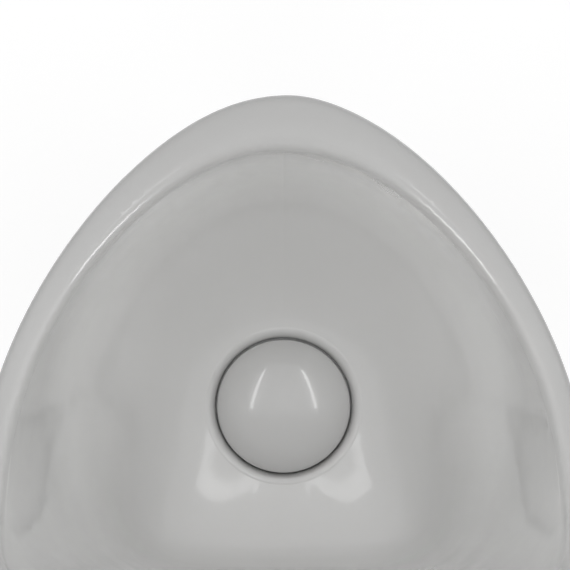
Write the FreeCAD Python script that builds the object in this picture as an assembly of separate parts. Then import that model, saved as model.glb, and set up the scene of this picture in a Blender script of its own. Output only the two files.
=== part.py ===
import FreeCAD, Part
import math
import os

# Wall hung urinal with a loose drain cover, hidden trap and hidden fixings.
# Millimetres, +Z up. The finished wall is the plane y = 0 and the bowl stands out towards -Y.
# The origin is on the wall, midway between the two hanger studs.
# Below, "depth" is the distance in front of the wall and "height" is above the underside.

Vector = FreeCAD.Vector

# Overall form of the china
overall_height = 600.0
overall_width = 319.0
projection = 329.0
hanger_drop = 90.0
lip_height = 340.0
shield_depth = 80.0
knee_depth = 57.0
china_wall = 10.0

# Rim: a flat band with rounded edges, widest at the lip and over the crest.
# A blend is a power: the higher it is, the later the change comes on the way round.
lip_rim_width = 31.0
side_rim_width = 15.0
crest_rim_width = 24.0
rim_crown = 9.0
rim_squareness = 3.2
rim_width_blend = 3
crest_turn_in = 115.0
crest_turn_blend = 2

# Roundness of the outlines: 2 is an ellipse, more is squarer
base_squareness = 2.15
lip_squareness = 1.94
crest_squareness = 2.6
belly_squareness = 2.5
foot_squareness = 4.6

# Bowl
drain_depth = 148.0
drain_height = 155.0
foot_half_width = 112.0
foot_front_setback = 32.0
foot_back_depth = 41.0
foot_rise = 7.0
front_fullness = 0.95
back_fullness = 6.0
fullness_blend = 4

# Drain cover and its recess
cover_diameter = 80.0
cover_rise = 17.0
cover_bulge = 9.0
cover_shoulder_round = 8.0
cover_wall = 6.0
cover_skirt = 5.5
cover_edge_round = 1.5
cover_gap = 3.0
recess_depth = 12.0
recess_round = 6.0
recess_flat = 1.0

# Carrier under the cover
carrier_ring_radius = 31.0
carrier_ring_width = 4.0
carrier_ring_height = 3.0
carrier_hub_radius = 7.0
carrier_fin_thickness = 2.5
carrier_leg_count = 4
foot_pad_radius = 1.8
foot_pad_height = 1.5

# Waste fitting through the bowl floor
waste_tube_radius = 24.0
waste_tube_wall = 3.0
waste_flange_radius = 32.5
waste_flange_thickness = 4.0
waste_gasket_thickness = 2.0
waste_hole_clearance = 1.5
waste_washer_thickness = 2.5
waste_nut_height = 9.0
waste_nut_width = 62.0
waste_tail = 10.0
thread_clearance = 0.05

# Strainer laid in the waste flange
strainer_radius = 27.0
strainer_thickness = 1.5
strainer_hole_radius = 2.8
strainer_hole_rows = 2
strainer_row_step = 8.5
strainer_clearance = 0.3
strainer_sink = 2.0

# Trap hung on the waste tube
trap_radius = 33.0
trap_wall = 3.0
trap_floor_height = 51.0
trap_socket_wall = 5.0
dip_tube_radius = 16.0
dip_tube_wall = 2.0
dip_tube_foot_gap = 9.0
dip_collar_thickness = 2.0
trap_seal_thickness = 1.5

# Waste outlet to the wall
outlet_drop = 20.0
outlet_pipe_radius = 16.0
outlet_pipe_wall = 2.0
outlet_joint_depth = 94.0
outlet_in_wall = 60.0
union_nut_length = 20.0
union_nut_width = 46.0
union_seal_length = 8.0
union_seal_thickness = 3.0
outlet_cuff_thickness = 9.0
outlet_cuff_length = 24.0
outlet_cuff_start = 6.0

# Flush water inlet and spreader
inlet_drop = 122.0
inlet_pipe_radius = 16.0
inlet_pipe_wall = 1.5
inlet_tail_radius = 13.0
inlet_tail_step = 10.0
inlet_in_wall = 40.0
inlet_seal_thickness = 5.0
inlet_seal_flange_width = 6.0
inlet_seal_flange_thickness = 4.0
spreader_radius = 26.0
spreader_rise = 14.0
spreader_flat_radius = 14.0
spreader_side_rise = 8.0
spreader_wall = 3.0
spreader_stem_length = 20.0
spreader_slot_width = 3.0
spreader_slot_height = 5.0
spreader_slot_count = 7
spreader_fan = 150.0
spot_face_depth = 1.5
spot_face_margin = 0.5

# Hanger studs and the china webs that hook over them
hanger_inset = 59.5
stud_radius = 5.0
stud_thread_radius = 4.8
stud_in_wall = 60.0
stud_end = 6.0
web_thickness = 16.0
web_half_width = 26.0
web_half_height = 34.0
sleeve_wall = 3.0
sleeve_clearance = 0.1
hanger_washer_radius = 14.0
hanger_washer_thickness = 3.0
hanger_nut_width = 17.0
hanger_nut_height = 8.0
nut_chamfer = 1.2

# Lower side fixings
lower_fix_height = 175.0
lower_fix_depth = 30.0
angle_thickness = 3.0
angle_half_height = 17.0
angle_side_leg = 46.0
angle_wall_leg = 44.0
angle_stand_off = 7.0
angle_hole_radius = 4.25
side_screw_radius = 3.0
side_screw_grip = 12.0
side_head_radius = 6.0
side_head_height = 3.5
side_sleeve_wall = 2.0
side_cap_radius = 9.5
side_cap_wall = 1.8
side_cap_rise = 6.0
side_seat_depth = 3.0

# Derived heights and depths
hanger_height = overall_height - hanger_drop
hanger_spacing = overall_width - 2 * hanger_inset
inlet_height = overall_height - inlet_drop
base_z = -hanger_height
foot_front_depth = projection - foot_front_setback
lip_centre_depth = projection - lip_rim_width / 2
lip_centre_height = lip_height - rim_crown
crest_centre_depth = shield_depth - rim_crown
crest_centre_height = overall_height - crest_rim_width / 2
rim_half_width = (overall_width - side_rim_width) / 2
recess_radius = cover_diameter / 2 + cover_gap
recess_mouth_radius = recess_radius + recess_round
bowl_foot_radius = recess_mouth_radius + recess_flat
recess_floor = drain_height - recess_depth
waste_hole_radius = waste_tube_radius + waste_hole_clearance
boss_radius = bowl_foot_radius + china_wall
boss_underside = recess_floor - china_wall
flange_underside = recess_floor + waste_gasket_thickness
flange_top = flange_underside + waste_flange_thickness
strainer_seat = flange_top - strainer_sink
waste_nut_top = boss_underside - waste_washer_thickness
waste_nut_foot = waste_nut_top - waste_nut_height
waste_tube_foot = waste_nut_foot - waste_tail
waste_bore = waste_tube_radius - waste_tube_wall
trap_shoulder = waste_tube_foot - trap_seal_thickness - dip_collar_thickness
trap_floor = trap_floor_height
outlet_height = trap_shoulder - outlet_drop
inlet_hole_radius = inlet_pipe_radius + inlet_seal_thickness
sleeve_radius = stud_thread_radius + sleeve_wall
stud_front = web_thickness + hanger_washer_thickness + hanger_nut_height + stud_end
side_sleeve_radius = side_screw_radius + side_sleeve_wall
loop_points = 32
slope_step = 1e-4


def place(x, depth, height):
    """Point from its side offset, its depth in front of the wall and its height."""
    return Vector(x, -depth, height + base_z)


def oval(angle, front_squareness, rear_squareness):
    """Share of the half width and place from front (0) to rear (1) on a squared oval."""
    share = (1 - math.cos(angle)) / 2
    power = front_squareness + (rear_squareness - front_squareness) * share
    reach = (abs(math.sin(angle)) ** power + abs(math.cos(angle)) ** power) ** (-1 / power)
    return reach * math.sin(angle), (1 - reach * math.cos(angle)) / 2


def rim_side_curve(share):
    """Depth and height of the rim's middle line, a parabola from the lip over the knee to the crest."""
    start = (1 - share) ** 2
    middle = 2 * share * (1 - share)
    end = share ** 2
    depth = start * lip_centre_depth + middle * knee_depth + end * crest_centre_depth
    height = (start + middle) * lip_centre_height + end * crest_centre_height
    return depth, height


def rim_middle(angle):
    """Point on the middle line of the rim."""
    side, share = oval(angle, lip_squareness, crest_squareness)
    depth, height = rim_side_curve(share)
    return place(rim_half_width * side, depth, height)


def rim_point(angle, turn):
    """Point on the rounded rim; the turn runs from the outer edge (0) to the inner edge (180 degrees)."""
    middle = rim_middle(angle)
    along = rim_middle(angle + slope_step) - rim_middle(angle - slope_step)
    share = oval(angle, lip_squareness, crest_squareness)[1]
    near = rim_side_curve(share + slope_step)
    far = rim_side_curve(share - slope_step)
    open_side = Vector(0, -(near[1] - far[1]), far[0] - near[0]).normalize()
    outward = along.cross(open_side).normalize()
    half = side_rim_width / 2
    half += (lip_rim_width - side_rim_width) / 2 * max(0, -outward.y) ** rim_width_blend
    half += (crest_rim_width - side_rim_width) / 2 * max(0, outward.z) ** rim_width_blend
    across = math.copysign(abs(math.cos(turn)) ** (2 / rim_squareness), math.cos(turn))
    rise = math.sin(turn) ** (2 / rim_squareness)
    return middle + outward * (half * across) + open_side * (rim_crown * rise)


def outer_point(angle, rise):
    """Point on the outside, from its outline on the wall (0) to the outer edge of the rim (1)."""
    side, share = oval(angle, base_squareness, crest_squareness)
    edge = rim_point(angle, 0)
    quarter = rise * math.pi / 2
    forward = math.sin(quarter) ** (2 / belly_squareness)
    upward = 1 - math.cos(quarter) ** (2 / belly_squareness)
    start = place(overall_width / 2 * side, 0, overall_height * share)
    return Vector(
        start.x + (edge.x - start.x) * upward,
        edge.y * forward,
        start.z + (edge.z - start.z) * upward,
    )


def rim_end_turn(angle):
    """Turn at which the rim's round runs into the inside, less at the crest than at the lip."""
    share = (1 - math.cos(angle)) / 2
    return math.radians(180 - (180 - crest_turn_in) * share ** crest_turn_blend)


def inner_point(angle, fall):
    """Point on the inside of the bowl, from the rim (0) to the edge of the drain recess (1)."""
    fall = (1 - math.cos(math.pi * fall)) / 2
    top = rim_point(angle, rim_end_turn(angle))
    side, share = oval(angle, 2, foot_squareness)
    foot_depth = foot_front_depth + (foot_back_depth - foot_front_depth) * share
    foot = place(foot_half_width * side, foot_depth, drain_height + foot_rise)
    end_depth = drain_depth + bowl_foot_radius * math.cos(angle)
    end = place(bowl_foot_radius * math.sin(angle), end_depth, drain_height)
    fullness = front_fullness + (back_fullness - front_fullness) * share ** fullness_blend
    top_weight = (1 - fall) ** 2
    foot_weight = 2 * fall * (1 - fall) * fullness
    end_weight = fall ** 2
    total = top_weight + foot_weight + end_weight
    return (top * top_weight + foot * foot_weight + end * end_weight) / total


def behind_surface(point_on, angle, place_on, wall):
    """Point one wall thickness inside the china behind a point of its surface."""
    across = point_on(angle, place_on + slope_step) - point_on(angle, place_on - slope_step)
    along = point_on(angle + slope_step, place_on) - point_on(angle - slope_step, place_on)
    return point_on(angle, place_on) - along.cross(across).normalize() * wall


def skin_face(rows):
    """One smooth face through closed rows of points, each row taken at the same angles."""
    count = len(rows[0])
    angles = [2 * math.pi * step / count for step in range(count + 1)]
    places = [0.0]
    for row, following in zip(rows, rows[1:]):
        gap = sum(p.distanceToPoint(q) for p, q in zip(row, following)) / count
        places.append(places[-1] + gap)
    round_curves = []
    for row in rows:
        curve = Part.BSplineCurve()
        curve.interpolate(Points=row, PeriodicFlag=True, Parameters=angles)
        round_curves.append(curve)
    across_curves = []
    for pole in range(round_curves[0].NbPoles):
        curve = Part.BSplineCurve()
        curve.interpolate(Points=[c.getPole(pole + 1) for c in round_curves], Parameters=places)
        across_curves.append(curve)
    surface = Part.BSplineSurface()
    surface.buildFromPolesMultsKnots(
        [curve.getPoles() for curve in across_curves],
        round_curves[0].getMultiplicities(),
        across_curves[0].getMultiplicities(),
        round_curves[0].getKnots(),
        across_curves[0].getKnots(),
        True,
        False,
        round_curves[0].Degree,
        across_curves[0].Degree,
    )
    return surface.toShape()


def capped(face):
    """Solid from a round skin by closing its two flat ends."""
    ends = [edge for edge in face.Edges if edge.isClosed()]
    caps = [Part.Face(Part.Wire([edge])) for edge in ends]
    shell = Part.makeShell([face] + caps)
    shell.sewShape()
    solid = Part.Solid(shell)
    solid.fixTolerance(1e-4)
    if solid.Volume < 0:
        solid.reverse()
    return solid


def ring_points(point_at):
    """Points that a function gives at even angles around the opening."""
    return [point_at(2 * math.pi * step / loop_points) for step in range(loop_points)]


def closed_wire(points):
    """Smooth closed wire through points."""
    curve = Part.BSplineCurve()
    curve.interpolate(Points=points, PeriodicFlag=True)
    return Part.Wire([curve.toShape()])


def flat_oval(half_width, front_depth, front_height, back_depth, back_height):
    """Oval wire in one slanting plane, which closes a form in the open air."""
    def point_at(angle):
        share = (1 - math.cos(angle)) / 2
        depth = front_depth + (back_depth - front_depth) * share
        height = front_height + (back_height - front_height) * share
        return place(half_width * math.sin(angle), depth, height)
    return closed_wire(ring_points(point_at))


def upright(radius, low, high, x=0.0, depth=drain_depth):
    """Upright round bar between two heights, on the drain's axis unless placed elsewhere."""
    return Part.makeCylinder(radius, high - low, place(x, depth, low), Vector(0, 0, 1))


def square_to_wall(radius, back, front, x, height):
    """Round bar square to the wall between two depths; a negative depth is inside the wall."""
    return Part.makeCylinder(radius, front - back, place(x, front, height), Vector(0, 1, 0))


def sideways(radius, inner_x, outer_x, depth, height):
    """Round bar along X on the right-hand side."""
    return Part.makeCylinder(radius, outer_x - inner_x, place(inner_x, depth, height), Vector(1, 0, 0))


def block(low_x, high_x, back, front, low, high):
    """Box between two side offsets, two depths and two heights."""
    return Part.makeBox(high_x - low_x, front - back, high - low, place(low_x, front, low))


def hexagon_nut(width, centre, axis, height, bore):
    """Hexagon nut of a width across flats, from its centre along its axis."""
    corner = width / math.sqrt(3)
    turned = FreeCAD.Rotation(Vector(0, 0, 1), axis)
    corners = [Vector(corner * math.cos(math.radians(60 * k)), corner * math.sin(math.radians(60 * k)), 0)
               for k in range(7)]
    nut = Part.Face(Part.makePolygon(corners)).extrude(Vector(0, 0, height))
    crown = Part.makeCone(corner - nut_chamfer + height, corner - nut_chamfer, height)
    nut = nut.common(crown).cut(Part.makeCylinder(bore, height))
    nut.Placement = FreeCAD.Placement(centre, turned)
    return nut


def both_sides(shape):
    """A right-hand piece and its mirror image as one group of separate solids."""
    return Part.makeCompound([shape, shape.mirror(Vector(0, 0, 0), Vector(1, 0, 0))])


def china_skin():
    """Solid casting: outside, rounded rim and inside of the bowl as one skin."""
    rows = [ring_points(lambda a, r=rise: outer_point(a, r)) for rise in (0, 0.1, 0.3, 0.5, 0.7, 0.86, 0.95)]
    for share in (0, 0.125, 0.25, 0.375, 0.5, 0.625, 0.75, 0.875, 1):
        rows.append(ring_points(lambda a, s=share: rim_point(a, s * rim_end_turn(a))))
    for fall in (0.08, 0.18, 0.3, 0.42, 0.54, 0.66, 0.78, 0.9, 1):
        rows.append(ring_points(lambda a, f=fall: inner_point(a, f)))
    return capped(skin_face(rows))


def china_hollow():
    """Space inside the casting, open at the back, one wall inside the outer and inner surfaces."""
    outline = ring_points(lambda a: behind_surface(outer_point, a, 0.02, china_wall))
    wires = [closed_wire([Vector(p.x, behind, p.z) for p in outline]) for behind in (china_wall, 0)]
    for rise in (0.15, 0.3, 0.45, 0.6, 0.75, 0.9):
        wires.append(closed_wire(ring_points(
            lambda a, r=rise: behind_surface(outer_point, a, r, china_wall))))
    wires.append(flat_oval(rim_half_width / 3, lip_centre_depth - 2 * lip_rim_width, lip_height + rim_crown,
                           shield_depth + rim_crown, crest_centre_height - 2 * crest_rim_width))
    outer = Part.makeLoft(wires, True, True)
    floor = drain_height - china_wall
    wires = [flat_oval(recess_mouth_radius, drain_depth + recess_mouth_radius, floor,
                       drain_depth - recess_mouth_radius, floor)]
    for fall in (0.93, 0.86, 0.78, 0.7, 0.62, 0.54, 0.46, 0.38, 0.3, 0.2, 0.1, 0.03):
        wires.append(closed_wire(ring_points(
            lambda a, f=fall: behind_surface(inner_point, a, f, china_wall))))
    wires.append(flat_oval(rim_half_width, projection + china_wall, overall_height,
                           shield_depth, overall_height + lip_height))
    bowl = Part.makeLoft(wires, True, True)
    return outer.cut([bowl, upright(boss_radius, boss_underside, drain_height)])


def back_wall_depth(height):
    """Depth of the bowl's back wall at a height, on the middle plane."""
    low, high = 0.0, 1.0
    while high - low > slope_step:
        middle = (low + high) / 2
        if inner_point(math.pi, middle).z - base_z > height:
            low = middle
        else:
            high = middle
    return -inner_point(math.pi, low).y


def side_reach(solid, depth, height):
    """Where a line along X leaves the solid and where it last enters it, on the right-hand side."""
    line = Part.makeLine(place(0, depth, height), place(overall_width, depth, height))
    pieces = solid.common(line).Edges
    outermost = max(pieces, key=lambda edge: edge.BoundBox.XMax)
    return outermost.BoundBox.XMin, outermost.BoundBox.XMax


def hanger_web():
    """China web in the hollow with a slot, open downwards, that hooks over the stud's sleeve."""
    x = hanger_spacing / 2
    web = block(x - web_half_width, x + 3 * web_half_width, 0, web_thickness,
                hanger_height - web_half_height, hanger_height + web_half_height)
    slot_radius = sleeve_radius + sleeve_clearance
    slot = square_to_wall(slot_radius, 0, web_thickness, x, hanger_height)
    way_in = block(x - slot_radius, x + slot_radius, 0, web_thickness,
                   hanger_height - web_half_height, hanger_height)
    return web.cut([slot, way_in])


def recess_cutter():
    """Recess round the drain cover, with a rounded mouth."""
    mouth = upright(recess_mouth_radius, drain_height - recess_round, drain_height + recess_round)
    ring = Part.makeTorus(recess_mouth_radius, recess_round,
                          place(0, drain_depth, drain_height - recess_round), Vector(0, 0, 1))
    return upright(recess_radius, recess_floor, drain_height + recess_round).fuse(mouth.cut(ring))


def china_body():
    """The china casting with its hollow, recess, holes, hanger webs and side seats."""
    skin = china_skin()
    hollow = china_hollow()
    shell = skin.cut(hollow)
    inner_x, outer_x = side_reach(shell, lower_fix_depth, lower_fix_height)
    web = hanger_web()
    hollow = hollow.cut(list(both_sides(web).Solids))
    wall_front = back_wall_depth(inlet_height)
    seat_x = outer_x - side_seat_depth
    side_cut = sideways(side_sleeve_radius + sleeve_clearance, inner_x - china_wall, outer_x + china_wall,
                        lower_fix_depth, lower_fix_height)
    side_cut = side_cut.fuse(sideways(side_cap_radius + sleeve_clearance, seat_x, seat_x + china_wall,
                                      lower_fix_depth, lower_fix_height))
    cuts = [
        hollow,
        recess_cutter(),
        upright(waste_hole_radius, boss_underside - china_wall, drain_height),
        square_to_wall(inlet_hole_radius, wall_front - 2 * china_wall, wall_front + china_wall,
                       0, inlet_height),
        square_to_wall(spreader_radius + spot_face_margin, wall_front - spot_face_depth,
                       wall_front + china_wall, 0, inlet_height),
        square_to_wall(inlet_hole_radius + inlet_seal_flange_width + spot_face_margin,
                       wall_front - 2 * china_wall, inlet_seal_front(wall_front), 0, inlet_height),
    ]
    for cut in cuts + both_sides(side_cut).Solids:
        skin = skin.cut(cut)
    return skin, inner_x, outer_x


def cover_ball(inset):
    """Ball whose top is the dome's outside, or lies inside it by a wall."""
    edge = cover_diameter / 2
    radius = (edge ** 2 + cover_bulge ** 2) / (2 * cover_bulge)
    return Part.makeSphere(radius - inset, place(0, drain_depth, drain_height + cover_rise - radius))


def drain_cover_dome():
    """Loose china dome: a shallow cap with a rounded shoulder over an upright skirt, hollow underneath."""
    edge = cover_diameter / 2
    foot = drain_height - cover_skirt
    top = drain_height + cover_rise
    shoulder = top - cover_bulge
    dome = cover_ball(0).common(upright(edge, shoulder, top)).fuse(upright(edge, foot, shoulder))
    dome = dome.removeSplitter()
    shoulder_edge = [e for e in dome.Edges if e.isClosed() and e.BoundBox.ZMin > place(0, 0, foot).z + 1]
    dome = dome.makeFillet(cover_shoulder_round, shoulder_edge)
    foot_edge = [e for e in dome.Edges if e.isClosed() and e.BoundBox.ZMax < place(0, 0, foot).z + 0.1]
    dome = dome.makeFillet(cover_edge_round, foot_edge)
    return dome.cut(cover_inside(foot))


def cover_inside(foot):
    """Space under the dome down to a height."""
    bore = upright(cover_diameter / 2 - cover_wall, foot, drain_height + cover_rise)
    return bore.common(cover_ball(cover_wall))


def carrier_legs():
    """Angles of the carrier's legs."""
    return [360 * k / carrier_leg_count + 45 for k in range(carrier_leg_count)]


def turned(shape, angle):
    """The shape turned about the drain's axis."""
    copy = shape.copy()
    copy.rotate(place(0, drain_depth, 0), Vector(0, 0, 1), angle)
    return copy


def cover_carrier():
    """Plastic spider under the dome: hub, fins cut to the dome's inside, and a ring above the pads."""
    low = flange_top + foot_pad_height
    ring = upright(carrier_ring_radius, low, low + carrier_ring_height)
    ring = ring.cut(upright(carrier_ring_radius - carrier_ring_width, low, low + carrier_ring_height))
    top = drain_height + cover_rise
    hub = upright(carrier_hub_radius, low, top)
    fin = block(0, carrier_ring_radius, drain_depth - carrier_fin_thickness / 2,
                drain_depth + carrier_fin_thickness / 2, low, top)
    spider = hub.fuse([ring] + [turned(fin, angle) for angle in carrier_legs()])
    return spider.common(cover_inside(low)).removeSplitter()


def cover_pads():
    """Rubber pads that the carrier stands on, one under each leg."""
    radius = carrier_ring_radius - carrier_ring_width / 2
    pad = upright(foot_pad_radius, flange_top, flange_top + foot_pad_height, x=radius)
    return Part.makeCompound([turned(pad, angle) for angle in carrier_legs()])


def drain_strainer():
    """Thin steel plate with rings of round holes, laid in the flange."""
    plate = upright(strainer_radius - strainer_clearance, strainer_seat, strainer_seat + strainer_thickness)
    holes = [upright(strainer_hole_radius, strainer_seat, strainer_seat + strainer_thickness)]
    for row in range(1, strainer_hole_rows + 1):
        hole = upright(strainer_hole_radius, strainer_seat, strainer_seat + strainer_thickness,
                       x=row * strainer_row_step)
        holes += [turned(hole, 360 * k / (6 * row)) for k in range(6 * row)]
    return plate.cut(holes)


def waste_flange():
    """Flanged waste tube through the bowl floor, with a rebate for the strainer."""
    flange = upright(waste_flange_radius, flange_underside, flange_top)
    flange = flange.fuse(upright(waste_tube_radius, waste_tube_foot, flange_underside))
    rebate = upright(strainer_radius, strainer_seat, flange_top)
    return flange.removeSplitter().cut([rebate, upright(waste_bore, waste_tube_foot, flange_top)])


def ring(outer, inner, low, high):
    """Upright ring on the drain's axis."""
    return upright(outer, low, high).cut(upright(inner, low, high))


def wall_ring(outer, inner, back, front, x, height):
    """Ring square to the wall."""
    return square_to_wall(outer, back, front, x, height).cut(square_to_wall(inner, back, front, x, height))


def waste_nut():
    """Large hexagon nut under the bowl floor."""
    centre = place(0, drain_depth, waste_nut_top)
    return hexagon_nut(waste_nut_width, centre, Vector(0, 0, -1), waste_nut_height,
                       waste_tube_radius + thread_clearance)


def trap_body():
    """Cup of the trap with a socket for the waste tube and an outlet spigot towards the wall."""
    cup = upright(trap_radius, trap_floor, trap_shoulder)
    socket_radius = waste_tube_radius + trap_socket_wall
    cup = cup.fuse(upright(socket_radius, trap_shoulder, waste_tube_foot + waste_tail / 2))
    cup = cup.fuse(square_to_wall(outlet_pipe_radius, outlet_joint_depth, drain_depth, 0, outlet_height))
    inside = upright(trap_radius - trap_wall, trap_floor + trap_wall, trap_shoulder - trap_wall)
    bore = square_to_wall(outlet_pipe_radius - outlet_pipe_wall, outlet_joint_depth, drain_depth,
                          0, outlet_height)
    neck = upright(dip_tube_radius + thread_clearance, trap_shoulder - trap_wall, trap_shoulder)
    socket = upright(waste_tube_radius + thread_clearance, trap_shoulder, waste_tube_foot + waste_tail)
    return cup.removeSplitter().cut([inside, bore, neck, socket])


def trap_dip_tube():
    """Tube with a collar that hangs in the trap and ends below its outlet."""
    foot = trap_floor + trap_wall + dip_tube_foot_gap
    top = trap_shoulder + dip_collar_thickness
    tube = upright(dip_tube_radius, foot, top).fuse(upright(waste_tube_radius, trap_shoulder, top))
    return tube.removeSplitter().cut(upright(dip_tube_radius - dip_tube_wall, foot, top))


def trap_seal():
    """Rubber ring between the dip tube's collar and the end of the waste tube."""
    low = trap_shoulder + dip_collar_thickness
    return ring(waste_tube_radius, waste_bore, low, low + trap_seal_thickness)


def outlet_pipe():
    """Straight waste pipe from the trap into the wall."""
    return wall_ring(outlet_pipe_radius, outlet_pipe_radius - outlet_pipe_wall, -outlet_in_wall,
                     outlet_joint_depth, 0, outlet_height)


def outlet_union_nut():
    """Union nut over the joint of trap and waste pipe, relieved inside for its seal."""
    start = outlet_joint_depth + union_nut_length / 2
    nut = hexagon_nut(union_nut_width, place(0, start, outlet_height), Vector(0, 1, 0), union_nut_length,
                      outlet_pipe_radius + thread_clearance)
    half = union_seal_length / 2
    relief = square_to_wall(outlet_pipe_radius + union_seal_thickness, outlet_joint_depth - half,
                            outlet_joint_depth + half, 0, outlet_height)
    return nut.cut(relief)


def outlet_union_seal():
    """Rubber sleeve inside the union nut, across the joint."""
    half = union_seal_length / 2
    return wall_ring(outlet_pipe_radius + union_seal_thickness, outlet_pipe_radius + thread_clearance,
                     outlet_joint_depth - half, outlet_joint_depth + half, 0, outlet_height)


def outlet_cuff():
    """Rubber cuff on the waste pipe, inside the wall's socket."""
    return wall_ring(outlet_pipe_radius + outlet_cuff_thickness, outlet_pipe_radius,
                     -outlet_cuff_start - outlet_cuff_length, -outlet_cuff_start, 0, outlet_height)


def flush_inlet_pipe(wall_front):
    """Flush water pipe to the bowl's back wall, with a narrower tail for the wall's socket."""
    pipe = square_to_wall(inlet_pipe_radius, inlet_tail_step, wall_front - spot_face_depth, 0, inlet_height)
    pipe = pipe.fuse(square_to_wall(inlet_tail_radius, -inlet_in_wall, inlet_tail_step, 0, inlet_height))
    bore = square_to_wall(inlet_pipe_radius - inlet_pipe_wall, inlet_tail_step + inlet_pipe_wall,
                          wall_front - spot_face_depth, 0, inlet_height)
    tail_bore = square_to_wall(inlet_tail_radius - inlet_pipe_wall, -inlet_in_wall,
                               inlet_tail_step + inlet_pipe_wall, 0, inlet_height)
    return pipe.removeSplitter().cut([bore, tail_bore])


def inlet_seal_front(wall_front):
    """Depth of the flat that the inlet seal's flange bears on, behind the back wall."""
    return wall_front - china_wall + spot_face_depth


def inlet_seal(wall_front):
    """Rubber sleeve round the inlet pipe in the back wall's hole, with a flange behind the wall."""
    back = inlet_seal_front(wall_front) - inlet_seal_flange_thickness
    sleeve = square_to_wall(inlet_hole_radius, back, wall_front - spot_face_depth, 0, inlet_height)
    flange = square_to_wall(inlet_hole_radius + inlet_seal_flange_width, back,
                            back + inlet_seal_flange_thickness, 0, inlet_height)
    bore = square_to_wall(inlet_pipe_radius, back, wall_front, 0, inlet_height)
    return sleeve.fuse(flange).removeSplitter().cut(bore)


def turned_to_wall(profile, height):
    """Solid turned about a level axis square to the wall from its (radius, depth) outline."""
    points = [place(radius, depth, height) for radius, depth in profile + profile[:1]]
    return Part.Face(Part.makePolygon(points)).revolve(place(0, 0, height), Vector(0, 1, 0), 360)


def flush_spreader(wall_front):
    """Low conical spreader on the back wall: hollow, with a fan of slots round its lower edge."""
    seat = wall_front - spot_face_depth
    stem = inlet_pipe_radius - inlet_pipe_wall - thread_clearance
    back = seat - spreader_stem_length
    front = seat + spreader_rise
    flat = spreader_flat_radius
    shoulder = seat + spreader_side_rise
    body = turned_to_wall([
        (0, front), (flat, front), (spreader_radius, shoulder), (spreader_radius, seat), (stem, seat),
        (stem, back), (stem - spreader_wall, back), (stem - spreader_wall, seat + spreader_wall),
        (spreader_radius - spreader_wall, seat + spreader_wall),
        (spreader_radius - spreader_wall, shoulder - spreader_wall / 2),
        (flat - spreader_wall / 2, front - spreader_wall), (0, front - spreader_wall),
    ], inlet_height)
    half = spreader_slot_width / 2
    slot = block(-half, half, seat + spreader_wall, seat + spreader_wall + spreader_slot_height,
                 inlet_height - spreader_radius - spreader_wall, inlet_height - stem)
    for k in range(spreader_slot_count):
        angle = spreader_fan * (k / (spreader_slot_count - 1) - 0.5)
        copy = slot.copy()
        copy.rotate(place(0, seat, inlet_height), Vector(0, 1, 0), angle)
        body = body.cut(copy)
    return body


def hanger_parts():
    """Stud, sleeve, washer and nut of one hanger, each for both sides."""
    x = hanger_spacing / 2
    anchor = square_to_wall(stud_radius, -stud_in_wall, 0, x, hanger_height)
    stud = anchor.fuse(square_to_wall(stud_thread_radius, 0, stud_front, x, hanger_height))
    sleeve = wall_ring(sleeve_radius, stud_thread_radius, 0, web_thickness, x, hanger_height)
    washer_front = web_thickness + hanger_washer_thickness
    washer = wall_ring(hanger_washer_radius, stud_thread_radius, web_thickness, washer_front,
                       x, hanger_height)
    nut_front = washer_front + hanger_nut_height
    nut = hexagon_nut(hanger_nut_width, place(x, nut_front, hanger_height), Vector(0, 1, 0),
                      hanger_nut_height, stud_thread_radius)
    return {
        "hanger_studs": both_sides(stud),
        "hanger_sleeves": both_sides(sleeve),
        "hanger_washers": both_sides(washer),
        "hanger_nuts": both_sides(nut),
    }


def side_fixing_parts(inner_x, outer_x):
    """Lower angle bracket, side screw, sleeve and cap, each for both sides."""
    low = lower_fix_height - angle_half_height
    high = lower_fix_height + angle_half_height
    leg_x = inner_x - angle_stand_off
    angle = block(leg_x - angle_thickness, leg_x, 0, angle_side_leg, low, high)
    angle = angle.fuse(block(leg_x - angle_wall_leg, leg_x, 0, angle_thickness, low, high)).removeSplitter()
    hole_x = angle_hole_x(inner_x)
    wall_hole = square_to_wall(angle_hole_radius, 0, angle_thickness, hole_x, lower_fix_height)
    tapped = sideways(side_screw_radius, leg_x - angle_thickness, leg_x, lower_fix_depth, lower_fix_height)
    seat_x = outer_x - side_seat_depth
    screw = sideways(side_screw_radius, leg_x - side_screw_grip, seat_x + side_head_height / 2,
                     lower_fix_depth, lower_fix_height)
    head = sideways(side_head_radius, seat_x, seat_x + side_head_height, lower_fix_depth, lower_fix_height)
    sleeve = sideways(side_sleeve_radius, leg_x, seat_x, lower_fix_depth, lower_fix_height)
    sleeve = sleeve.cut(sideways(side_screw_radius, leg_x, seat_x, lower_fix_depth, lower_fix_height))
    cap = sideways(side_cap_radius, seat_x, seat_x + side_cap_rise, lower_fix_depth, lower_fix_height)
    outer_rim = [e for e in cap.Edges if e.isClosed() and e.BoundBox.XMin > seat_x + side_cap_wall]
    cap = cap.makeFillet(side_cap_wall, outer_rim)
    cap = cap.cut(sideways(side_cap_radius - side_cap_wall, seat_x, seat_x + side_cap_rise - side_cap_wall,
                           lower_fix_depth, lower_fix_height))
    return {
        "lower_angle_brackets": both_sides(angle.cut([wall_hole, tapped])),
        "side_screws": both_sides(screw.fuse(head).removeSplitter()),
        "side_screw_sleeves": both_sides(sleeve),
        "side_screw_caps": both_sides(cap),
    }


def angle_hole_x(inner_x):
    """Side offset of the wall hole in a lower bracket."""
    return inner_x - angle_stand_off - (angle_wall_leg + angle_thickness) / 2


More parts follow.
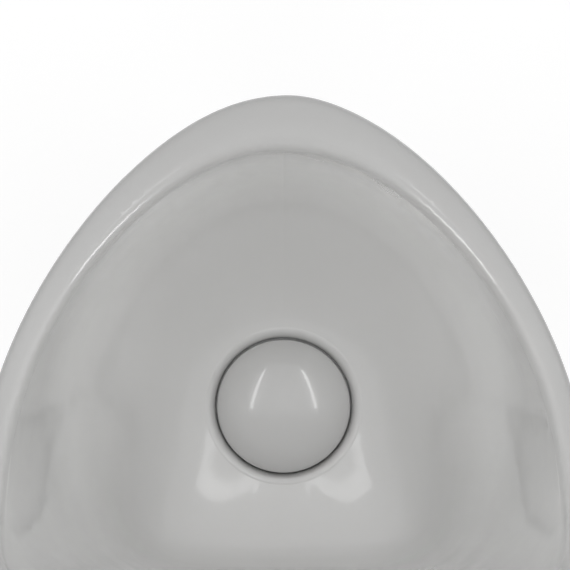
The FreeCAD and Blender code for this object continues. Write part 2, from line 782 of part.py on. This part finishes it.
def all_parts():
    """Every node's shape under its name."""
    body, inner_x, outer_x = china_body()
    wall_front = back_wall_depth(inlet_height)
    parts = {
        "china_body": body,
        "drain_cover_dome": drain_cover_dome(),
        "cover_carrier": cover_carrier(),
        "cover_pads": cover_pads(),
        "drain_strainer": drain_strainer(),
        "waste_flange": waste_flange(),
        "waste_gasket": ring(waste_flange_radius, waste_hole_radius, recess_floor, flange_underside),
        "waste_washer": ring(waste_flange_radius, waste_tube_radius + thread_clearance, waste_nut_top,
                             boss_underside),
        "waste_nut": waste_nut(),
        "trap_body": trap_body(),
        "trap_dip_tube": trap_dip_tube(),
        "trap_seal": trap_seal(),
        "outlet_pipe": outlet_pipe(),
        "outlet_union_nut": outlet_union_nut(),
        "outlet_union_seal": outlet_union_seal(),
        "outlet_wall_cuff": outlet_cuff(),
        "flush_inlet_pipe": flush_inlet_pipe(wall_front),
        "inlet_seal": inlet_seal(wall_front),
        "flush_spreader": flush_spreader(wall_front),
    }
    parts.update(hanger_parts())
    parts.update(side_fixing_parts(inner_x, outer_x))
    print("heights above the origin: outlet", outlet_height + base_z, "inlet", inlet_height + base_z)
    print("lower bracket holes at x", angle_hole_x(inner_x), "back wall in front of the inlet", wall_front)
    return parts


os.makedirs("parts", exist_ok=True)
for name, shape in all_parts().items():
    print(name, shape.isValid(), len(shape.Solids), round(shape.Volume))
    shape.exportStep("parts/" + name + ".step")
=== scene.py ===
"""Wall hung urinal: the looks of the china, its drain cover and the fittings behind it.

Metres, in the frame of the CAD model: the wall is the plane y = 0, the bowl reaches towards -Y, and Z is up.
"""
import math

import bmesh
import bpy
from mathutils import Matrix, Vector


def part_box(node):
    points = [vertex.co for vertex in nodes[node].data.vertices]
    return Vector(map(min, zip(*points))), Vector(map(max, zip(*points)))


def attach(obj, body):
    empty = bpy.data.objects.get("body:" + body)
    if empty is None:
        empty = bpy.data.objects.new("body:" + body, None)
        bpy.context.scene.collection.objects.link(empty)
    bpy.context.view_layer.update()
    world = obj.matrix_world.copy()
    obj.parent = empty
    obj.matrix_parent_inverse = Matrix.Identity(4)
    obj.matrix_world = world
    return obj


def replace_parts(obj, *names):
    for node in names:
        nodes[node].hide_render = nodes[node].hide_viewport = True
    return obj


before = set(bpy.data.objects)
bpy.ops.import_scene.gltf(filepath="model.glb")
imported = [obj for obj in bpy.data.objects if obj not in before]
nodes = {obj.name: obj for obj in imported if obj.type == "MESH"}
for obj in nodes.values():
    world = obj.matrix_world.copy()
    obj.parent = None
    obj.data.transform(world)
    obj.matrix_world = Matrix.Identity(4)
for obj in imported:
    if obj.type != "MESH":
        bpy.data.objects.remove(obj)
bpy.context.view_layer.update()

WALL_AXIS = Vector((0.0, 1.0, 0.0))
UP = Vector((0.0, 0.0, 1.0))
TURN = 2.0 * math.pi
WHITE = (1.0, 1.0, 1.0, 1.0)


# Materials ------------------------------------------------------------------------------------------------------

def shader(name, roughness, metallic=0.0):
    """A new material, its node tree and its Principled shader."""
    material = bpy.data.materials.new(name)
    material.use_nodes = True
    principled = material.node_tree.nodes["Principled BSDF"]
    principled.inputs["Roughness"].default_value = roughness
    principled.inputs["Metallic"].default_value = metallic
    return material, material.node_tree, principled


def object_noise(tree, scale, detail):
    """A noise in the object's own metres; scale is in waves per metre."""
    place = tree.nodes.new("ShaderNodeTexCoord")
    noise = tree.nodes.new("ShaderNodeTexNoise")
    noise.inputs["Scale"].default_value = scale
    noise.inputs["Detail"].default_value = detail
    noise.inputs["Roughness"].default_value = 0.5
    tree.links.new(place.outputs["Object"], noise.inputs["Vector"])
    return noise.outputs["Fac"]


def tones(tree, principled, factor, dark, light, low=0.3, high=0.7):
    """The base colour drifts between two tones of one finish as the factor goes from low to high."""
    ramp = tree.nodes.new("ShaderNodeValToRGB")
    ramp.color_ramp.elements[0].position = low
    ramp.color_ramp.elements[0].color = (*dark, 1.0)
    ramp.color_ramp.elements[1].position = high
    ramp.color_ramp.elements[1].color = (*light, 1.0)
    tree.links.new(factor, ramp.inputs["Fac"])
    tree.links.new(ramp.outputs["Color"], principled.inputs["Base Color"])


def gloss_drift(tree, principled, factor, low, high):
    """The roughness drifts between two values."""
    spread = tree.nodes.new("ShaderNodeMapRange")
    spread.inputs["From Min"].default_value = 0.3
    spread.inputs["From Max"].default_value = 0.7
    spread.inputs["To Min"].default_value = low
    spread.inputs["To Max"].default_value = high
    tree.links.new(factor, spread.inputs["Value"])
    tree.links.new(spread.outputs["Result"], principled.inputs["Roughness"])


def relief(tree, principled, heights):
    """Bumps one upon the other; each height is (factor, distance in metres, strength)."""
    normal = None
    for factor, distance, strength in heights:
        bump = tree.nodes.new("ShaderNodeBump")
        bump.inputs["Distance"].default_value = distance
        bump.inputs["Strength"].default_value = strength
        tree.links.new(factor, bump.inputs["Height"])
        if normal is not None:
            tree.links.new(normal, bump.inputs["Normal"])
        normal = bump.outputs["Normal"]
    tree.links.new(normal, principled.inputs["Normal"])


def glazed_china(name, dark, light):
    """Glaze over vitreous china: a clear wet coat, a slow drift of tone and a barely wavy surface."""
    material, tree, principled = shader(name, 0.22)
    principled.inputs["Coat Weight"].default_value = 0.65
    principled.inputs["Coat Roughness"].default_value = 0.05
    principled.inputs["IOR"].default_value = 1.5
    tones(tree, principled, object_noise(tree, scale=9.0, detail=3.0), dark, light)
    gloss_drift(tree, principled, object_noise(tree, scale=30.0, detail=3.0), low=0.18, high=0.27)
    relief(tree, principled, [
        (object_noise(tree, scale=14.0, detail=1.0), 0.002, 0.10),
        (object_noise(tree, scale=420.0, detail=2.0), 0.0002, 0.05),
    ])
    return material


def moulded_plastic(name, dark, light, roughness):
    """Injection moulded plastic with a fine spark grain."""
    material, tree, principled = shader(name, roughness)
    tones(tree, principled, object_noise(tree, scale=40.0, detail=4.0), dark, light)
    gloss_drift(tree, principled, object_noise(tree, scale=160.0, detail=3.0), roughness - 0.06, roughness + 0.08)
    relief(tree, principled, [(object_noise(tree, scale=2600.0, detail=3.0), 0.00012, 0.25)])
    return material


def rubber(name, dark, light):
    """Matt black rubber with a dusty bloom."""
    material, tree, principled = shader(name, 0.72)
    principled.inputs["Sheen Weight"].default_value = 0.15
    principled.inputs["Sheen Roughness"].default_value = 0.5
    tones(tree, principled, object_noise(tree, scale=90.0, detail=5.0), dark, light, low=0.4, high=0.75)
    relief(tree, principled, [(object_noise(tree, scale=1500.0, detail=4.0), 0.00015, 0.35)])
    return material


def metal(name, dark, light, roughness, grain, depth, strength):
    """Bare or plated metal; grain is in waves per metre and depth in metres."""
    material, tree, principled = shader(name, roughness, 1.0)
    tones(tree, principled, object_noise(tree, scale=55.0, detail=5.0), dark, light)
    gloss_drift(tree, principled, object_noise(tree, scale=220.0, detail=5.0), 0.7 * roughness, 1.4 * roughness)
    relief(tree, principled, [(object_noise(tree, grain, detail=4.0), depth, strength)])
    return material


def brushed_metal(name, dark, light, roughness):
    """Sheet metal brushed along X: the scratches are long noise, squeezed across."""
    material, tree, principled = shader(name, roughness, 1.0)
    place = tree.nodes.new("ShaderNodeTexCoord")
    squeeze = tree.nodes.new("ShaderNodeMapping")
    squeeze.inputs["Scale"].default_value = (40.0, 1800.0, 1800.0)
    scratches = tree.nodes.new("ShaderNodeTexNoise")
    scratches.inputs["Scale"].default_value = 1.0
    scratches.inputs["Detail"].default_value = 4.0
    tree.links.new(place.outputs["Object"], squeeze.inputs["Vector"])
    tree.links.new(squeeze.outputs["Vector"], scratches.inputs["Vector"])
    tones(tree, principled, scratches.outputs["Fac"], dark, light)
    gloss_drift(tree, principled, scratches.outputs["Fac"], 0.7 * roughness, 1.5 * roughness)
    relief(tree, principled, [(scratches.outputs["Fac"], 0.0001, 0.3)])
    return material


# One finish for each material slot of the CAD model: dark and light tone, then roughness and grain.
FINISHES = {
    "body_china": glazed_china("china_glaze_body", (0.535, 0.533, 0.527), (0.555, 0.554, 0.549)),
    "cover_china": glazed_china("china_glaze_cover", (0.535, 0.534, 0.529), (0.555, 0.554, 0.550)),
    "white_plastic": moulded_plastic("carrier_plastic", (0.62, 0.62, 0.60), (0.68, 0.68, 0.66), 0.42),
    "black_rubber": rubber("seal_rubber", (0.016, 0.016, 0.017), (0.032, 0.032, 0.034)),
    "brushed_steel": brushed_metal("strainer_steel", (0.52, 0.52, 0.53), (0.66, 0.66, 0.67), 0.3),
    "waste_plastic": moulded_plastic("waste_plastic", (0.55, 0.55, 0.54), (0.61, 0.61, 0.60), 0.4),
    "fibre": moulded_plastic("washer_fibre", (0.20, 0.055, 0.035), (0.27, 0.08, 0.05), 0.8),
    "trap_plastic": moulded_plastic("trap_plastic", (0.66, 0.66, 0.65), (0.72, 0.72, 0.71), 0.34),
    "pipe_plastic": moulded_plastic("pipe_plastic", (0.60, 0.60, 0.59), (0.66, 0.66, 0.65), 0.3),
    "inlet_metal": metal("inlet_brass", (0.58, 0.44, 0.22), (0.68, 0.53, 0.29), 0.3, 700.0, 0.0001, 0.2),
    "chrome": metal("spreader_chrome", (0.60, 0.60, 0.61), (0.66, 0.66, 0.67), 0.09, 120.0, 0.0003, 0.06),
    "zinc_steel": metal("zinc_plate", (0.46, 0.47, 0.48), (0.60, 0.60, 0.59), 0.36, 900.0, 0.00012, 0.3),
    "sleeve_plastic": moulded_plastic("sleeve_plastic", (0.50, 0.50, 0.49), (0.56, 0.56, 0.55), 0.5),
    "cap_plastic": moulded_plastic("cap_plastic", (0.62, 0.62, 0.61), (0.67, 0.67, 0.66), 0.3),
}

for node in nodes.values():
    for slot in node.material_slots:
        slot.material = FINISHES[slot.material.name]


# Finer pieces ---------------------------------------------------------------------------------------------------

def middle_of(node):
    """Middle of a CAD node's box."""
    low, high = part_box(node)
    return (low + high) / 2


def finished(mesh, name, finish, body):
    """The mesh as one smooth piece with outward faces, its finish and the body that it rides on."""
    bmesh.ops.remove_doubles(mesh, verts=mesh.verts, dist=1e-6)
    bmesh.ops.recalc_face_normals(mesh, faces=mesh.faces)
    data = bpy.data.meshes.new(name)
    mesh.to_mesh(data)
    mesh.free()
    piece = bpy.data.objects.new(name, data)
    bpy.context.scene.collection.objects.link(piece)
    data.materials.append(FINISHES[finish])
    data.shade_smooth()
    data.set_sharp_from_angle(angle=math.radians(35.0))
    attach(piece, body)
    return piece


def helical_ridge(mesh, start, axis, root, crest, pitch, turns, steps=36):
    """A closed three-sided ridge wound round an axis: the turns of a screw thread."""
    across = axis.orthogonal().normalized()
    half = 0.44 * pitch
    outline = [(root, -half), (crest, 0.0), (root, half)]
    corners = [mesh.verts.new(start + across * radius + axis * along) for radius, along in outline]
    section = mesh.faces.new(corners)
    bmesh.ops.spin(
        mesh, geom=corners + list(section.edges) + [section], cent=start, axis=axis,
        dvec=axis * (pitch / steps), angle=TURN * turns, steps=int(steps * turns), use_merge=False)


def turned(mesh, centre, axis, outline, steps=64):
    """Turns an outline of (radius, place along the axis); one that starts off the axis is closed to a ring."""
    across = axis.orthogonal().normalized()
    corners = [mesh.verts.new(centre + across * radius + axis * along) for radius, along in outline]
    edges = [mesh.edges.new(pair) for pair in zip(corners, corners[1:])]
    if outline[0][0] > 0.0:
        edges.append(mesh.edges.new((corners[-1], corners[0])))
    bmesh.ops.spin(mesh, geom=corners + edges, cent=centre, axis=axis, angle=TURN, steps=steps, use_merge=True)


def cover_shell():
    """The loose china dome: a lens whose shoulder rolls down to an upright skirt, hollow underneath."""
    low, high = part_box("drain_cover_dome")
    centre = middle_of("drain_cover_dome")
    foot = low.z
    edge = 0.0417
    crown_radius = 0.0934
    shoulder_roll = 0.42
    wall = 0.006
    bore = 0.034
    outside_steps = 28
    inside_steps = 8

    outline = [(0.0, high.z)]
    for step in range(outside_steps):
        share = (step + 0.5) / outside_steps
        slope = share * edge / crown_radius + shoulder_roll * share ** 6
        radius, height = outline[-1]
        outline.append((radius + edge / outside_steps, height - math.tan(slope) * edge / outside_steps))
    skirt = edge + 0.0002
    skirt_top = outline[-1][1] - 0.0006
    outline += [(skirt, skirt_top), (skirt, foot + 0.0015), (edge - 0.0003, foot + 0.0004),
                (edge - 0.0013, foot), (bore + 0.0006, foot), (bore, foot + 0.0006)]
    inside = crown_radius - wall
    for step in range(inside_steps + 1):
        radius = bore * (1.0 - step / inside_steps)
        outline.append((radius, high.z - wall - inside + math.sqrt(inside ** 2 - radius ** 2)))

    mesh = bmesh.new()
    turned(mesh, Vector((centre.x, centre.y, 0.0)), UP, outline, steps=128)
    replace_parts(finished(mesh, "drain_cover_shell", "cover_china", "drain_cover"), "drain_cover_dome")


def hanger_bolts():
    """Two hanger bolts: machine thread in front of the wall, a plain collar, and a coarse thread in the wall."""
    low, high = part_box("hanger_studs")
    radius = 0.005
    machine_core = 0.0042
    machine_crest = 0.0048
    machine_pitch = 0.0015
    chamfer = 0.0006
    half_collar = 0.006
    wood_core = 0.0036
    wood_root = 0.0034
    wood_pitch = 0.004
    point = 0.010
    for side in (-1, 1):
        x = side * (high.x - radius)
        front = Vector((x, low.y, middle_of("hanger_studs").z))
        machine = -low.y - half_collar
        collar = machine + 2 * half_collar
        wood = front + WALL_AXIS * collar
        left = (Vector((x, high.y, front.z)) - wood).length

        mesh = bmesh.new()
        helical_ridge(mesh, front + WALL_AXIS * 0.0012, WALL_AXIS, machine_core - 0.0001, machine_crest,
                      machine_pitch, (machine - 0.002) / machine_pitch)
        turned(mesh, front, WALL_AXIS, [
            (0.0, 0.0), (machine_core - 0.0004, 0.0), (machine_core, chamfer), (machine_core, machine),
            (machine_crest, machine), (machine_crest, collar), (wood_core, collar),
            (wood_core, collar + left - point), (chamfer, collar + left), (0.0, collar + left)], steps=48)
        helical_ridge(mesh, wood + WALL_AXIS * 0.003, WALL_AXIS, wood_root, radius, wood_pitch,
                      (left - point - wood_pitch) / wood_pitch)
        name = "hanger_bolt_right" if side > 0 else "hanger_bolt_left"
        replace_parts(finished(mesh, name, "zinc_steel", "urinal"), "hanger_studs")


def waste_tube_thread():
    """The fine thread on the waste tube, where it shows between the big nut and the trap's socket."""
    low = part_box("trap_body")[1].z
    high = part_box("waste_nut")[0].z
    centre = middle_of("waste_flange")
    tube_radius = 0.024
    pitch = 0.0016
    mesh = bmesh.new()
    start = Vector((centre.x, centre.y, low + pitch))
    helical_ridge(mesh, start, UP, tube_radius - 0.0002, tube_radius + 0.0007, pitch,
                  (high - low - 2 * pitch) / pitch, steps=72)
    finished(mesh, "waste_tube_thread", "waste_plastic", "urinal")


def cuff_lips():
    """Three sealing lips round the rubber cuff of the waste pipe."""
    low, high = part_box("outlet_wall_cuff")
    centre = middle_of("outlet_wall_cuff")
    radius = (high.x - low.x) / 2
    root = radius - 0.0004
    crest = radius + 0.0009
    half_width = 0.0016
    mesh = bmesh.new()
    for share in (0.25, 0.5, 0.75):
        place = Vector((centre.x, low.y + share * (high.y - low.y), centre.z))
        turned(mesh, place, WALL_AXIS, [(root, -half_width), (crest, 0.0), (root, half_width)])
    finished(mesh, "outlet_cuff_lips", "black_rubber", "urinal")


def trap_grip_ribs():
    """Upright grip ribs and a collar round the foot of the trap's cup, by which it is unscrewed for cleaning."""
    low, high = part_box("trap_body")
    centre = middle_of("waste_flange")
    radius = high.x - centre.x
    foot = low.z + 0.002
    depth = 0.0024
    width = 0.0026
    tall = 0.016
    count = 28
    mesh = bmesh.new()
    turned(mesh, Vector((centre.x, centre.y, foot + tall)), UP,
           [(radius - 0.0005, -0.0012), (radius + 0.0016, -0.0008), (radius + 0.0016, 0.0008),
            (radius - 0.0005, 0.0012)])
    for step in range(count):
        angle = TURN * step / count
        spot = Vector((radius * math.cos(angle), radius * math.sin(angle), 0.0))
        place = Vector((centre.x, centre.y, foot + tall / 2)) + spot
        turn = Matrix.Rotation(angle, 4, "Z")
        size = Matrix.Diagonal((depth, width, tall, 1.0))
        rib = bmesh.ops.create_cube(mesh, size=1.0, matrix=Matrix.Translation(place) @ turn @ size)
        edges = {edge for vert in rib["verts"] for edge in vert.link_edges}
        bmesh.ops.bevel(mesh, geom=list(edges), offset=0.0006, offset_type="OFFSET", segments=2, profile=0.5,
                        affect="EDGES", material=-1)
    finished(mesh, "trap_grip_ribs", "trap_plastic", "urinal")


cover_shell()
hanger_bolts()
waste_tube_thread()
cuff_lips()
trap_grip_ribs()


# Stage ----------------------------------------------------------------------------------------------------------

def seen_directly(tree):
    """1 for a ray from the camera, in a mirror or through glass, and 0 for the light that falls on the object."""
    path = tree.nodes.new("ShaderNodeLightPath")
    first = tree.nodes.new("ShaderNodeMath")
    first.operation = "MAXIMUM"
    second = tree.nodes.new("ShaderNodeMath")
    second.operation = "MAXIMUM"
    tree.links.new(path.outputs["Is Camera Ray"], first.inputs[0])
    tree.links.new(path.outputs["Is Glossy Ray"], first.inputs[1])
    tree.links.new(first.outputs[0], second.inputs[0])
    tree.links.new(path.outputs["Is Transmission Ray"], second.inputs[1])
    return second.outputs[0]


def lay_floor(size, height):
    """A pale floor that shows as white and keeps the object's shadow."""
    bpy.ops.mesh.primitive_plane_add(size=size, location=(0.0, 0.0, height))
    floor = bpy.context.object
    floor.name = "floor"
    material = bpy.data.materials.new("pale_floor")
    material.use_nodes = True
    tree = material.node_tree
    tree.nodes.clear()
    output = tree.nodes.new("ShaderNodeOutputMaterial")
    diffuse = tree.nodes.new("ShaderNodeBsdfDiffuse")
    diffuse.inputs["Color"].default_value = (0.42, 0.42, 0.42, 1.0)
    glow = tree.nodes.new("ShaderNodeEmission")
    glow.inputs["Color"].default_value = WHITE
    strength = tree.nodes.new("ShaderNodeMath")
    strength.operation = "MULTIPLY"
    strength.inputs[1].default_value = 0.72
    both = tree.nodes.new("ShaderNodeAddShader")
    tree.links.new(seen_directly(tree), strength.inputs[0])
    tree.links.new(strength.outputs[0], glow.inputs["Strength"])
    tree.links.new(diffuse.outputs[0], both.inputs[0])
    tree.links.new(glow.outputs[0], both.inputs[1])
    tree.links.new(both.outputs[0], output.inputs["Surface"])
    floor.data.materials.append(material)


def light_world(ambient):
    """White where it is seen, and a dimmer even light elsewhere."""
    world = bpy.data.worlds.new("studio")
    bpy.context.scene.world = world
    world.use_nodes = True
    tree = world.node_tree
    background = tree.nodes["Background"]
    background.inputs["Color"].default_value = WHITE
    spread = tree.nodes.new("ShaderNodeMapRange")
    spread.inputs["To Min"].default_value = ambient
    spread.inputs["To Max"].default_value = 1.0
    tree.links.new(seen_directly(tree), spread.inputs["Value"])
    tree.links.new(spread.outputs["Result"], background.inputs["Strength"])


def lamp_receivers(name, pieces):
    """A group of pieces that a lamp lights, as a flag beside it would shade the rest."""
    group = bpy.data.collections.new(name)
    for piece in pieces:
        group.objects.link(piece)
    return group


def hang_lamp(name, data, power, mirrored, lit):
    """Hangs a lamp that the camera doesn't see; the glaze may mirror it, and it may light only some pieces."""
    data.energy = power
    lamp = bpy.data.objects.new(name, data)
    lamp.visible_camera = False
    lamp.visible_glossy = mirrored
    if lit is not None:
        lamp.light_linking.receiver_collection = lit
    bpy.context.scene.collection.objects.link(lamp)
    return lamp


def soft_lamp(name, place, target, width, length, power, along=(0.0, 1.0, 0.0), mirrored=False, lit=None):
    """A rectangular soft lamp at place that faces target, its length along a direction."""
    data = bpy.data.lights.new(name, "AREA")
    data.shape = "RECTANGLE"
    data.size = width
    data.size_y = length
    back = (Vector(place) - Vector(target)).normalized()
    across = Vector(along).cross(back).normalized()
    turn = Matrix((across, back.cross(across), back)).transposed()
    lamp = hang_lamp(name, data, power, mirrored, lit)
    lamp.matrix_world = Matrix.Translation(place) @ turn.to_4x4()
    return lamp


def ball_lamp(name, place, radius, power, lit):
    """A soft round lamp that shines all ways."""
    data = bpy.data.lights.new(name, "POINT")
    data.shadow_soft_size = radius
    hang_lamp(name, data, power, False, lit).location = place


def light_studio():
    """Even light from the front, sides and back, lamps that the glaze mirrors, and fill inside the bowl."""
    bowl = (0.0, -0.15, -0.30)
    cover_only = lamp_receivers("strips_light", [bpy.data.objects["drain_cover_shell"]])
    body_only = lamp_receivers("patches_light", [nodes["china_body"]])
    soft_lamp("front", (0.0, -1.50, 1.30), bowl, width=1.2, length=0.6, power=9.0)
    soft_lamp("back", (0.0, 1.6, 0.05), (0.0, 0.0, -0.2), width=1.6, length=1.0, power=14.0)
    for side in (-1, 1):
        soft_lamp("side", (1.2 * side, -0.20, 0.90), bowl, width=0.6, length=1.2, power=5.2)
        soft_lamp("strip", (0.472 * side, -0.415, 0.77), bowl, width=0.06, length=0.78, power=0.9,
                  along=(0.204 * side, 0.75, 0.0), mirrored=True, lit=cover_only)
        soft_lamp("floor_patch", (0.15 * side, -0.215, 1.0), (-0.04 * side, -0.11, -0.35), width=0.07,
                  length=0.24, power=0.16, along=(0.20 * side, 0.14, 0.0), mirrored=True, lit=body_only)
        streak = soft_lamp("rim_strip", (-0.72 * side, 0.22, 0.48), (0.10 * side, -0.22, -0.16), width=0.26,
                           length=0.40, power=2.0, along=(0.20 * side, 0.33, 0.0), mirrored=True, lit=body_only)
        streak.visible_diffuse = False
        soft_lamp("wall_fill", (0.01 * side, -0.165, -0.02), (0.15 * side, -0.12, -0.15), width=0.07,
                  length=0.08, power=0.075, along=(0.0, 0.4, -1.0), lit=body_only)
    soft_lamp("bowl_fill", (0.0, -0.20, -0.19), (0.0, -0.20, -0.5), width=0.16, length=0.14, power=0.075,
              lit=body_only)
    soft_lamp("cover_fill", (0.0, -0.35, 1.2), (0.0, -0.14, -0.34), width=0.6, length=0.6, power=4.0,
              lit=cover_only)
    ball_lamp("bowl_ball", (0.0, -0.185, -0.18), radius=0.05, power=0.085, lit=body_only)


def set_camera(place, lens):
    """The camera looks straight down, with the bowl's lip at the top of the picture."""
    data = bpy.data.cameras.new("overhead")
    data.lens = lens
    data.sensor_width = 36.0
    data.clip_end = 50.0
    camera = bpy.data.objects.new("overhead", data)
    camera.location = place
    camera.rotation_euler = (0.0, 0.0, math.pi)
    bpy.context.scene.collection.objects.link(camera)
    bpy.context.scene.camera = camera


lay_floor(size=12.0, height=-0.512)
light_world(ambient=0.27)
light_studio()
set_camera((-0.0009, -0.2246, 1.002), lens=135.4)

scene = bpy.context.scene
scene.view_settings.view_transform = "Standard"
